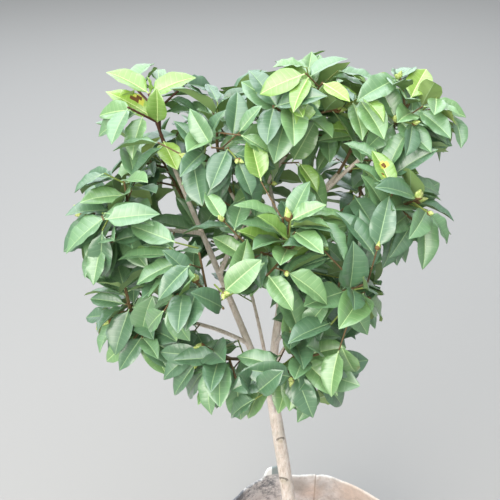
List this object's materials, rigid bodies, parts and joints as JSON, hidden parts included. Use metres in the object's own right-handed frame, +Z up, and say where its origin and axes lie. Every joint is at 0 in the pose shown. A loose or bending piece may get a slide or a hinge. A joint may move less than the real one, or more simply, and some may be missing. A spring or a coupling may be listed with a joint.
{
  "type": "potted camellia shrub",
  "caption": "Young camellia shrub in a round felt grow bag of soil: a slim leaning trunk, forking boughs and masses of glossy oval leaves with green buds.",
  "frame": {"origin": "middle of the grow bag's flat underside", "axes": "+Z up along the plant, -Y towards the front, +X to the right as seen from the front"},
  "size_m": [0.5024, 0.4696, 1.1946],
  "materials": {
    "felt": "matt non-woven felt, weathered cream with grey mould",
    "soil": "dry red-brown crumbs",
    "bark": "smooth pale tan-grey bark",
    "twig": "young brown bark",
    "leaf_mature": "glossy leathery green leaf",
    "leaf_fresh": "glossy fresh green leaf",
    "leaf_young": "soft glossy yellow-green young leaf"
  },
  "bodies": {
    "root": {"grow_bag": "felt", "soil": "soil", "trunk": "bark", "bough_right_top": "bark", "bough_left_top": "bark", "bough_centre_top": "twig", "bough_inner_left": "twig", "bough_right_tip": "twig", "bough_right_mid": "twig", "bough_right_low": "twig", "bough_centre": "twig", "bough_lower_front": "twig", "bough_lower_left": "twig", "bough_mid_left": "twig", "bough_left_mid": "twig", "bough_left_low": "twig", "bough_back_left": "twig", "bough_back": "twig", "bough_back_right": "twig", "bough_back_low": "twig", "bough_side_low": "twig", "foliage_right_top": "leaf_fresh", "foliage_left_top": "leaf_young", "foliage_centre_top": "leaf_fresh", "foliage_inner_left": "leaf_mature", "foliage_right_tip": "leaf_fresh", "foliage_right_mid": "leaf_mature", "foliage_right_low": "leaf_mature", "foliage_centre": "leaf_fresh", "foliage_lower_front": "leaf_mature", "foliage_lower_left": "leaf_mature", "foliage_mid_left": "leaf_mature", "foliage_left_mid": "leaf_mature", "foliage_left_low": "leaf_mature", "foliage_back_left": "leaf_mature", "foliage_back": "leaf_mature", "foliage_back_right": "leaf_mature", "foliage_back_low": "leaf_mature", "foliage_side_low": "leaf_mature"}
  },
  "joints": []
}
